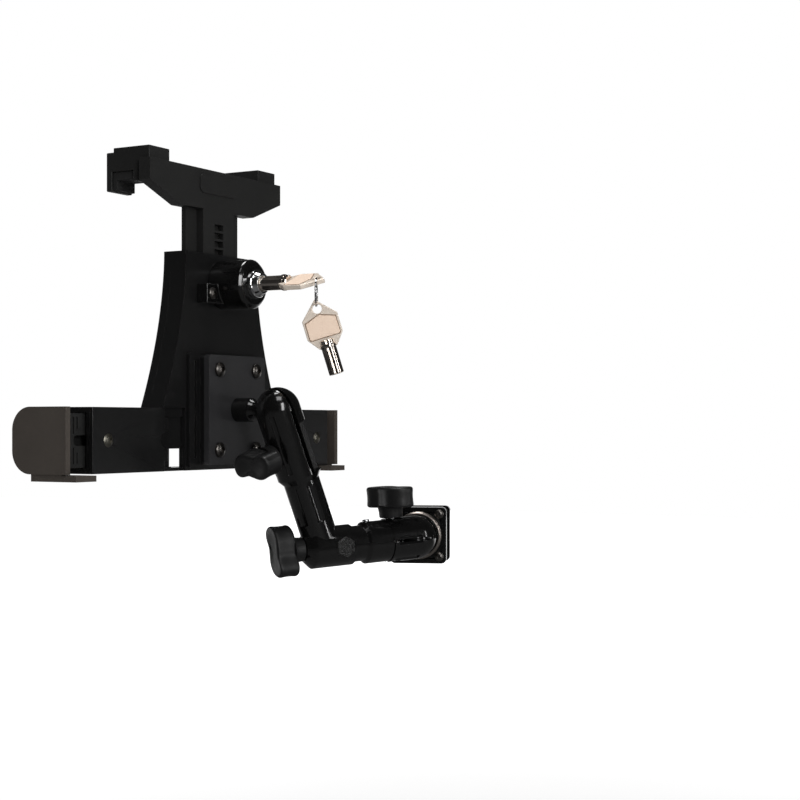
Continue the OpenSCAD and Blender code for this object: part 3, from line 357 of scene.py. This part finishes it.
def wing_knob(node, joint):
    """A two-winged knob. With p = |cos a| cubed, the radius is the core's plus p times what the
    wing adds, and the ray at a is swept on by KNOB_SWEEP times p. Rounded rims, a slight waist
    and a hub that flares into the head."""
    at = np.array(JOINTS[joint]["pos_m"])
    axis = np.array(JOINTS[joint]["axis"])
    points = node_points(node) - at
    height = points @ axis
    radial = points - height[:, None] * axis
    far = np.linalg.norm(radial, axis=1)
    tip = np.argmax(far)
    wing = height[far > far[tip] - 2 * MM]
    outward = axis * np.sign((wing.min() + wing.max()) - (height.min() + height.max()))
    base = (points @ outward).min()
    u, v, w = axes_along(outward, radial[tip])
    turn = np.radians(-KNOB_SWEEP)
    u, v = np.cos(turn) * u + np.sin(turn) * v, np.cos(turn) * v - np.sin(turn) * u
    angle = np.arange(180) * 2 * np.pi / 180
    power = np.abs(np.cos(angle)) ** 3
    radius = KNOB_CORE + (KNOB_SPAN / 2 - KNOB_CORE) * power
    swept = angle + np.radians(KNOB_SWEEP) * power
    ray = np.cos(swept)[:, None] * u + np.sin(swept)[:, None] * v
    rim = KNOB_RIM_R
    low = arc(-rim, rim, rim, -90, 0)
    high = arc(-rim, KNOB_HEAD_T - rim, rim, 0, 90)
    waist = np.stack([-KNOB_WAIST * np.sin(np.linspace(0, np.pi, 5)),
                      np.linspace(rim, KNOB_HEAD_T - rim, 5)], -1)[1:-1]
    edge = np.concatenate([low, waist, high])
    rows = [(0.0, 0.0, 0.15), (0.75, -rim, 0.0)]
    rows += [(1.0, dx, z) for dx, z in edge]
    rows += [(0.8, -rim, KNOB_HEAD_T), (0.62, -rim, KNOB_HEAD_T - KNOB_DISH),
             (0.0, 0.0, KNOB_HEAD_T - KNOB_DISH)]
    head = np.stack([at + ray * ((radius * s + d * (s > 0))[:, None] * MM)
                     + w * (base + (KNOB_HUB_T + z) * MM) for s, d, z in rows])
    hub = np.concatenate([[(KNOB_BORE_R, 0.0), (KNOB_HUB_R - 1.2, 0.0)],
                          arc(KNOB_HUB_R - 1.25, 0.5, 0.5, -90, 0, 4),
                          [(KNOB_HUB_R - 0.6, 2.5), (KNOB_HUB_R - 0.3, KNOB_HUB_T - 0.6),
                           (KNOB_HUB_R + 0.1, KNOB_HUB_T + 0.6), (KNOB_BORE_R, KNOB_HUB_T + 0.6),
                           (KNOB_BORE_R, 0.0)]])
    piece = grid_piece(node + "_winged", [head, turned(hub, at + w * base, (u, v, w))])
    return dress(piece, BODIES[node], "knob_nylon", (node,))


for knob_node, knob_joint in (("clamp_knob_grip", "clamp_knob_turn"),
                              ("arm_knob_grip", "arm_knob_turn"),
                              ("elbow_knob_grip", "elbow_knob_turn")):
    wing_knob(knob_node, knob_joint)


# Lock: a turned and polished face with a stepped rim, a cone and a bore for the key
lock_at = np.array(JOINTS["lock_turn"]["pos_m"])
plug_low, plug_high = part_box("lock_plug")
plug_front, plug_back = plug_low.y, plug_high.y
lock_axes = axes_along((0, 1, 0), (1, 0, 0))
face_at = np.array([lock_at[0], plug_front, lock_at[2]])
plug_len = (plug_back - plug_front) / MM
plug_profile = np.concatenate([
    [(TUBE_R + 0.05, PLUG_SINK), (TUBE_R + 0.05, 0.35)], arc(TUBE_R + 0.5, 0.45, 0.45, 180, 270, 5),
    arc(4.7, 0.35, 0.35, -90, -20, 4), [(PLUG_R - 1.2, 2.2), (PLUG_R - 0.9, 2.6)],
    arc(PLUG_R - 0.4, 3.0, 0.4, -90, 0, 4),
    [(PLUG_R, plug_len - 0.3), (PLUG_R - 0.3, plug_len), (0, plug_len), (0, PLUG_SINK),
     (TUBE_R + 0.05, PLUG_SINK)]])
dress(grid_piece("lock_face", [turned(plug_profile, face_at, lock_axes)], 25),
      "lock_cylinder", "polished_chrome", ("lock_plug",))


def key_axes(which):
    """Width, thickness and length directions of a key; length points from the tube to the bow."""
    if which == "lock_key":
        a = np.radians(KEY_TURN)
        return np.array([[np.cos(a), 0, np.sin(a)], [-np.sin(a), 0, np.cos(a)], [0, -1, 0]])
    a, t = np.radians(SPARE_AZIMUTH), np.radians(SPARE_TILT)
    turn = np.array([[np.cos(a), -np.sin(a), 0], [np.sin(a), np.cos(a), 0], [0, 0, 1]])
    lean = np.array([[np.cos(t), 0, np.sin(t)], [0, 1, 0], [-np.sin(t), 0, np.cos(t)]])
    return (turn @ lean).T


def flat_piece(name, loops, thickness, at, axes, lift=0.0, edge_mm=0.25):
    """A plate from closed outlines (the first outside, the others holes) across the second axis:
    centred on the place when lift is zero, else from lift outward on lift's side."""
    shape = bmesh.new()
    edges = []
    start = at + MM * (lift or -thickness / 2) * axes[1]
    for loop in loops:
        verts = [shape.verts.new(start + MM * (x * axes[0] + z * axes[2])) for x, z in loop]
        edges += [shape.edges.new((verts[k - 1], verts[k])) for k in range(1, len(verts))]
        edges.append(shape.edges.new((verts[-1], verts[0])))
    bmesh.ops.triangle_fill(shape, use_beauty=True, edges=edges)
    raised = bmesh.ops.extrude_face_region(shape, geom=shape.faces[:])
    moved = [g for g in raised["geom"] if isinstance(g, bmesh.types.BMVert)]
    step = thickness * MM * axes[1] * (1 if lift >= 0 else -1)
    bmesh.ops.translate(shape, verts=moved, vec=step)
    bmesh.ops.recalc_face_normals(shape, faces=shape.faces)
    mesh = bpy.data.meshes.new(name)
    shape.to_mesh(mesh)
    shape.free()
    shade(mesh, NEW_SHARP)
    piece = linked(name, mesh)
    round_edges(piece, edge_mm, NEW_SHARP)
    return piece


def key(node, body, hole_at):
    """A tubular key: a stamped bow, a struck line in painted shade and a coined field partly in a painted
    reflection on each side, and a tube with a collar. Heights run from the ring hole at zero down the tube."""
    axes = key_axes(node)
    low, half = BOW_TOP - BOW_LEN, BOW_W / 2
    outline = [(0, BOW_TOP), (half, BOW_SHOULDER), (half, low + BOW_TAPER), (TUBE_R + 0.8, low),
               (-TUBE_R - 0.8, low), (-half, low + BOW_TAPER), (-half, BOW_SHOULDER)]
    hole = arc(0, 0, KEY_HOLE_R, 0, 352.5, 48).tolist()
    bow = flat_piece(node + "_bow", [outline, hole], BOW_T, hole_at, axes)
    dress(bow, body, "stamped_nickel", (node,))
    reach = half - FIELD_INSET
    field = [(0, -KEY_HOLE_R - 0.8), (reach, BOW_SHOULDER - 1.6), (reach, low + BOW_TAPER),
             (reach - 0.6, low + BOW_TAPER - 0.6), (-reach + 0.6, low + BOW_TAPER - 0.6),
             (-reach, low + BOW_TAPER), (-reach, BOW_SHOULDER - 1.6)]
    # The line, painted darker as the shade in the groove, shows round the field, so its outline is the field's
    # moved outward
    middle = (BOW_TOP + low) / 2
    grown = [(x + LINE_SIDE * np.sign(x), z + (LINE_TOP if z > middle else -LINE_BOTTOM))
             for x, z in field]
    for side, word in ((1, "front"), (-1, "back")):
        # The line's dark colour is painted shade for the groove round the field
        line = flat_piece(f"{node}_line_{word}", [grown], 0.1, hole_at, axes,
                          side * (BOW_T / 2 - 0.04), 0.03)
        dress(line, body, "painted_shade_line")
        # The field's pinkish colour is partly a painted reflection
        panel = flat_piece(f"{node}_field_{word}", [field], 0.28, hole_at, axes,
                           side * (BOW_T / 2 - 0.02), 0.12)
        dress(panel, body, "coined_nickel_painted_reflection")
    # The tube's wall with a groove down each side: near 90 and 270 degrees the radius dips by
    # the groove's depth times exp(-(angle off / width) squared), the width in radians
    count = 120
    angle = np.arange(count) * 2 * np.pi / count
    dip = GROOVE_DEPTH * sum(np.exp(-((angle - side) / GROOVE_WIDTH) ** 2)
                             for side in (np.pi / 2, 1.5 * np.pi))
    ray = np.cos(angle)[:, None] * axes[0] + np.sin(angle)[:, None] * axes[1]
    rows = [(TUBE_R - 0.3, 1, low + 3.4), (TUBE_R, 1, low + 3.1), (TUBE_R, 1, -KEY_LEN + 0.3),
            (TUBE_R - 0.25, 1, -KEY_LEN), (TUBE_BORE_R + 0.1, 0, -KEY_LEN),
            (TUBE_BORE_R, 0, -KEY_LEN + 0.2), (TUBE_BORE_R, 0, -KEY_LEN + TUBE_WALL_END)]
    grid = np.stack([hole_at + MM * (ray * (r - dip * grooved)[:, None] + z * axes[2])
                     for r, grooved, z in rows])
    ends = [np.repeat((hole_at + MM * rows[k][2] * axes[2])[None, None], count, 1)
            for k in (0, -1)]
    tube = grid_piece(node + "_tube", [np.concatenate([ends[0], grid, ends[1]])], 25)
    dress(tube, body, "nickel_plate")
    # A rolled collar where the bow grips the tube
    rim = [(TUBE_R - 0.2, low - 0.5), (TUBE_R + 0.35, low - 0.2), (TUBE_R + 0.45, low + 0.5),
           (TUBE_R + 0.35, low + 1.2), (TUBE_R - 0.2, low + 1.5), (TUBE_R - 0.2, low - 0.5)]
    collar = grid_piece(node + "_collar", [turned(rim, hole_at, tuple(axes), 64)], 50)
    dress(collar, body, "nickel_plate")


key("lock_key", "lock_cylinder", np.array(JOINTS["key_ring_swing"]["pos_m"]))
ring_bottom = np.array(JOINTS["spare_key_swing"]["pos_m"])
spare_axes = key_axes("spare_key")
key("spare_key", "spare_key_body",
    ring_bottom - spare_axes[2] * MM * (KEY_HOLE_R - RING_WIRE_R - 0.3))

# Split ring: one flattened wire wound twice, its turns side by side, with tapered ends. Its
# centre line is a circle of RING_R whose two turns stand half a wire either side of the middle,
# and its section an ellipse that shrinks with the square root of the distance from either end
ring_low, ring_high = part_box("key_ring")
ring_mid = np.array((ring_low + ring_high) / 2)
view = np.array(JOINTS["key_ring_swing"]["axis"])
ring_normal = np.cross((0, 0, 1), view)
along = np.linspace(0, 1, RING_STEPS)
phase = np.radians(70) + along * RING_TURNS * 2 * np.pi
shift = np.clip((along - 0.5) * 8, -1, 1) * WIRE_HALF_T
radial = np.cos(phase)[:, None] * view + np.sin(phase)[:, None] * np.array((0.0, 0.0, 1.0))
centre = ring_mid + radial * RING_R * MM + ring_normal * (shift * MM)[:, None]
section = np.arange(14) * 2 * np.pi / 14
ends = (np.clip(np.minimum(along, 1 - along) * 60, 0, 1) ** 0.5)[:, None, None]
coil = centre[:, None] + MM * ends * (
    WIRE_HALF_W * np.cos(section)[None, :, None] * radial[:, None]
    + WIRE_HALF_T * np.sin(section)[None, :, None] * ring_normal)
dress(grid_piece("split_ring", [coil], 60), "ring_body", "polished_chrome", ("key_ring",))

# Every other solid: a merged copy with its real edge rounding in millimetres
EDGES = {
    "clamp_front_plate": 0.5, "clamp_rear_plate": 0.5, "front_liner": 0.4, "rear_liner": 0.4,
    "clamp_screws": 0.15, "clamp_nuts": 0.2, "ball_base": 0.3, "base_rim": 0.15,
    "clamp_ball_stud": 0.2, "forearm_barrel": 0.35, "forearm_jaw": 0.35, "forearm_nut": 0.2,
    "forearm_screws": 0.3, "elbow_nut": 0.2, "clamp_knob_bolt": 0.2, "upper_arm_shaft": 0.45,
    "upper_arm_jaw": 0.4, "upper_arm_nut": 0.2, "elbow_inset": 0.3, "arm_knob_bolt": 0.2,
    "elbow_knob_bolt": 0.2, "holder_ball_stud": 0.3, "adapter_plate": 0.8, "adapter_screws": 0.2,
    "adapter_block": 0.5, "spine_cover": 0.8, "spine_tray": 0.5, "case_screws": 0.2,
    "crossbar_body": 0.6, "left_bar_cover": 0.6, "right_bar_cover": 0.6, "slider_bolts": 0.2,
    "back_pads": 0.3, "lock_housing": 0.4, "lock_screw": 0.2, "t_bracket": 0.55,
    "left_top_hook": 0.4, "right_top_hook": 0.4, "top_hook_pads": 0.3, "left_slider": 0.2,
    "left_hook": 0.5, "left_hook_pads": 0.3, "right_slider": 0.2, "right_hook": 0.5,
    "right_hook_pads": 0.3, "lock_pawl": 0.15,
}
for solid, edge in EDGES.items():
    rounded(solid, edge, OWN_FINISH.get(solid))


# ---------------------------------------------------------------- room, light and camera

floor_z = min(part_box(n)[0].z for n in frame["nodes"]) - FLOOR_DROP
floor_mesh = bpy.data.meshes.new("floor")
corners = ((-1, -1), (1, -1), (1, 1), (-1, 1))
floor_mesh.from_pydata([(x * SWEEP_HALF, y * SWEEP_HALF, floor_z) for x, y in corners],
                       [], [(0, 1, 2, 3)])
floor = linked("floor", floor_mesh)

# White sweep of a product studio: white to the camera and in reflections, and it keeps a shadow
paper = bpy.data.materials.new("white_sweep")
paper.use_nodes = True
tree = paper.node_tree
body_shader = tree.nodes["Principled BSDF"]
body_shader.inputs["Roughness"].default_value = 0.9
rays = add(tree, "ShaderNodeLightPath")
seen = add(tree, "ShaderNodeMath", {"operation": "MAXIMUM"},
           {0: rays.outputs["Is Camera Ray"], 1: rays.outputs["Is Glossy Ray"]})
seen = add(tree, "ShaderNodeMath", {"operation": "MAXIMUM"},
           {0: seen.outputs[0], 1: rays.outputs["Is Transmission Ray"]})
# Reflections show the sweep dim under the object, where flags shade it, and white further back
dim = add(tree, "ShaderNodeMix", {"data_type": "RGBA", 6: srgb(SWEEP_WHITE), 7: srgb(SWEEP_SHADE)},
          {0: rays.outputs["Is Glossy Ray"]})
tree.links.new(dim.outputs[2], body_shader.inputs["Base Color"])
place = add(tree, "ShaderNodeTexCoord").outputs["Object"]
away = add(tree, "ShaderNodeVectorMath", {"operation": "LENGTH"}, {0: place})
around = add(tree, "ShaderNodeMapRange",
             {"From Min": GLOW_FROM, "From Max": GLOW_TO, "To Min": SWEEP_GLOW, "To Max": 1.0},
             {"Value": away.outputs["Value"]})
back = add(tree, "ShaderNodeVectorMath", {"operation": "DOT_PRODUCT", 1: AHEAD}, {0: place})
behind = add(tree, "ShaderNodeMapRange",
             {"From Min": BACK_FROM, "From Max": BACK_TO, "To Max": 1.0},
             {"Value": back.outputs["Value"]})
glow_here = add(tree, "ShaderNodeMix", {"data_type": "FLOAT"},
                {0: rays.outputs["Is Glossy Ray"], 2: around.outputs[0], 3: behind.outputs[0]})
share = add(tree, "ShaderNodeMath", {"operation": "MULTIPLY"},
            {0: seen.outputs[0], 1: glow_here.outputs[0]})
glow = add(tree, "ShaderNodeEmission", {"Color": srgb("#ffffff")}, {"Strength": share.outputs[0]})
both = add(tree, "ShaderNodeAddShader", (), {0: body_shader.outputs[0], 1: glow.outputs[0]})
tree.links.new(both.outputs[0], tree.nodes["Material Output"].inputs["Surface"])
floor.data.materials.append(paper)

world = bpy.context.scene.world or bpy.data.worlds.new("studio")
bpy.context.scene.world = world
world.use_nodes = True
tree = world.node_tree
sky = tree.nodes["Background"]
sky.inputs["Color"].default_value = srgb("#ffffff")
rays = add(tree, "ShaderNodeLightPath")
seen = add(tree, "ShaderNodeMath", {"operation": "MAXIMUM"},
           {0: rays.outputs["Is Camera Ray"], 1: rays.outputs["Is Transmission Ray"]})
# Reflections show the white backdrop ahead of the camera and the darker room behind it
heading = add(tree, "ShaderNodeTexCoord").outputs["Generated"]
ahead = add(tree, "ShaderNodeVectorMath",
            {"operation": "DOT_PRODUCT", 1: AHEAD}, {0: heading})
backdrop = add(tree, "ShaderNodeMapRange",
               {"From Min": BACKDROP_FROM, "From Max": BACKDROP_TO, "To Min": DARK_SIDE,
                "To Max": 1.0},
               {"Value": ahead.outputs["Value"]})
mirror = add(tree, "ShaderNodeMix", {"data_type": "FLOAT", 2: FILL_LEVEL},
             {0: rays.outputs["Is Glossy Ray"], 3: backdrop.outputs[0]})
level = add(tree, "ShaderNodeMix", {"data_type": "FLOAT", 3: 1.0},
            {0: seen.outputs[0], 2: mirror.outputs[0]})
tree.links.new(level.outputs[0], sky.inputs["Strength"])


def lamp(name, at, size, size_y, watts):
    """A rectangular soft box at a place, turned towards the object."""
    light = bpy.data.lights.new(name, "AREA")
    light.shape = "RECTANGLE"
    light.size, light.size_y, light.energy = size, size_y, watts
    holder = linked(name, light)
    w = np.array(at, float) - np.array(LAMP_AIM)
    w /= np.linalg.norm(w)
    u = np.cross((0, 0, 1), w)
    u /= np.linalg.norm(u)
    v = np.cross(w, u)
    turn = np.eye(4)
    turn[:3, 0], turn[:3, 1], turn[:3, 2], turn[:3, 3] = u, v, w, at
    holder.matrix_world = Matrix(turn.tolist())


lamp("key_box", (-0.5, -0.35, 1.0), 0.4, 0.4, 2.0)
lamp("front_strip", (-0.62, -0.85, 0.35), 0.22, 0.7, 4.0)
lamp("right_strip", (0.1, -1.1, 0.2), 0.04, 0.8, 1.6)
lamp("left_strip", (-0.15, 1.1, 0.25), 0.06, 0.9, 1.6)
lamp("top_box", (0.05, 0.15, 1.05), 0.4, 0.4, 5.0)

scene = bpy.context.scene
scene.view_settings.view_transform = "Standard"
photo_camera = bpy.data.cameras.new("photo_camera")
photo_camera.lens = LENS
photo_camera.sensor_width = 36.0
photo_camera.shift_y = HORIZON_SHIFT
photo_camera.clip_start = 0.01
camera = linked("photo_camera", photo_camera)
camera.location = CAMERA_AT
camera.rotation_euler = (math.radians(90), 0, math.radians(CAMERA_TURN))
scene.camera = camera
